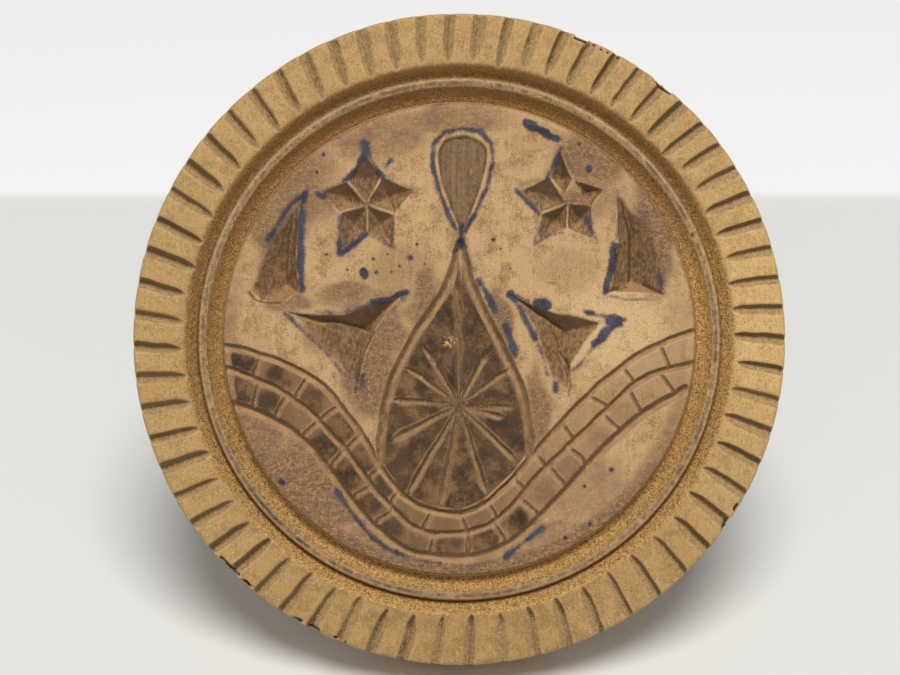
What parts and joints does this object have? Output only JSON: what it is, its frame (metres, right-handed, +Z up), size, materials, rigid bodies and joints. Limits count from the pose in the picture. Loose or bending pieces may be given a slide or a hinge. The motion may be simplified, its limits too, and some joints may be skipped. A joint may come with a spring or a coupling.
{
  "type": "carved wooden butter print",
  "caption": "Round carved wooden butter print with a turned handle, leaning face up on its rim and knob.",
  "frame": {"origin": "on the table, under the middle of the whole print's bounding box", "axes": "+Z up, +X across the carved face (to the right as seen from the front), carved face towards -Y and tilted up, handle towards +Y"},
  "size_m": [0.12, 0.1142, 0.1077],
  "materials": {
    "carved_wood": "old dry bare wood, stained in the carving",
    "handle_wood": "old bare wood, polished by hands",
    "peg_wood": "old bare wood"
  },
  "bodies": {
    "root": {"print_disc": "carved_wood", "handle": "handle_wood", "tenon_wedge": "peg_wood", "locking_peg": "peg_wood"}
  },
  "joints": []
}
